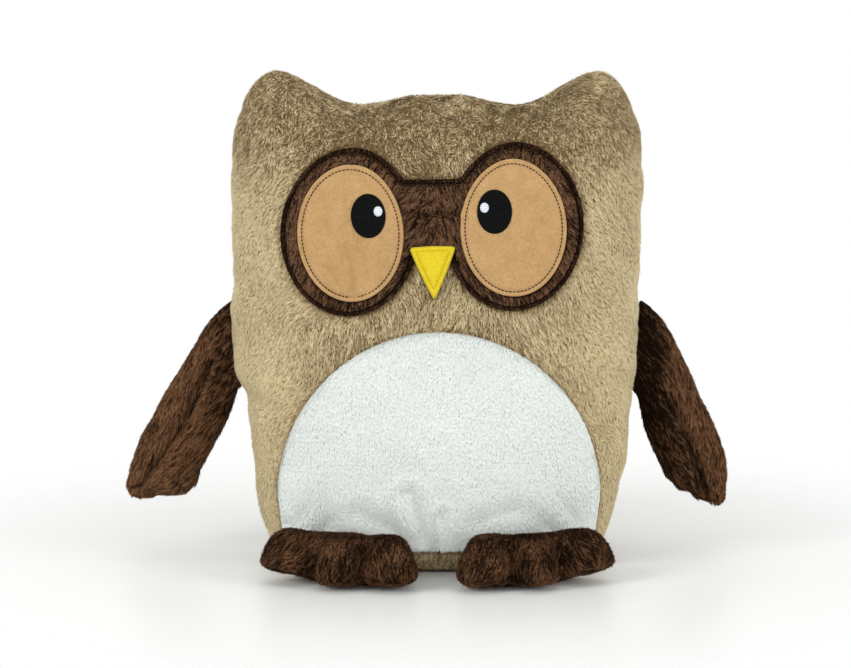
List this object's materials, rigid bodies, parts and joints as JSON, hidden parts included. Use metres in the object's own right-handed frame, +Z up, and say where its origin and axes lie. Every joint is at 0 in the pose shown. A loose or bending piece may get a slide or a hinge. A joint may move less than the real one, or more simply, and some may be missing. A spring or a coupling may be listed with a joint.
{
  "type": "plush owl",
  "caption": "Sewn plush owl with a boxy eared body on a flat base, a goggle mask with felt eyes, a pale belly, folding side wings and flat toed feet.",
  "frame": {"origin": "middle of the flat base that the owl stands on, under the plane of the side seams", "axes": "+Z up; the face looks towards -Y; +X is to the right as the picture shows it"},
  "size_m": [0.3146, 0.1607, 0.2564],
  "materials": {
    "tan_plush": "short tan plush pile",
    "brown_plush": "dark brown plush pile",
    "white_plush": "short white plush pile",
    "tan_felt": "pressed felt",
    "black_stitch": "satin stitch",
    "white_stitch": "satin stitch",
    "yellow_felt": "pressed felt",
    "filling": "loose fibre"
  },
  "bodies": {
    "torso": {"base_panel": "tan_plush", "beak": "yellow_felt", "belly_patch": "white_plush", "body_back_panel": "tan_plush", "body_front_panel": "tan_plush", "body_stuffing": "filling", "eye_left": "tan_felt", "eye_right": "tan_felt", "glint_left": "white_stitch", "glint_right": "white_stitch", "mask_patch": "brown_plush", "pupil_left": "black_stitch", "pupil_right": "black_stitch"},
    "wing_left": {"wing_left_front_panel": "brown_plush", "wing_left_back_panel": "brown_plush", "wing_left_stuffing": "filling"},
    "foot_left": {"foot_left_top_panel": "brown_plush", "foot_left_sole_panel": "brown_plush", "foot_left_stuffing": "filling"},
    "wing_right": {"wing_right_front_panel": "brown_plush", "wing_right_back_panel": "brown_plush", "wing_right_stuffing": "filling"},
    "foot_right": {"foot_right_top_panel": "brown_plush", "foot_right_sole_panel": "brown_plush", "foot_right_stuffing": "filling"}
  },
  "joints": [
    {"name": "wing_left_fold", "type": "hinge", "parent": "torso", "child": "wing_left", "pos_m": [-0.10735, 0, 0.14137], "axis": [-0.0637, 0, 0.998], "range_deg": [-50, 50], "stiffness_Nm_per_rad": 0.02},
    {"name": "wing_right_fold", "type": "hinge", "parent": "torso", "child": "wing_right", "pos_m": [0.1073, 0, 0.14137], "axis": [-0.0645, 0, -0.9979], "range_deg": [-50, 50], "stiffness_Nm_per_rad": 0.02},
    {"name": "foot_left_flex", "type": "hinge", "parent": "torso", "child": "foot_left", "pos_m": [-0.04414, -0.04901, 0.007], "axis": [-0.9848, 0.1736, 0], "range_deg": [-70, 7], "stiffness_Nm_per_rad": 0.03},
    {"name": "foot_right_flex", "type": "hinge", "parent": "torso", "child": "foot_right", "pos_m": [0.04414, -0.04901, 0.007], "axis": [-0.9848, -0.1736, 0], "range_deg": [-70, 7], "stiffness_Nm_per_rad": 0.03}
  ]
}
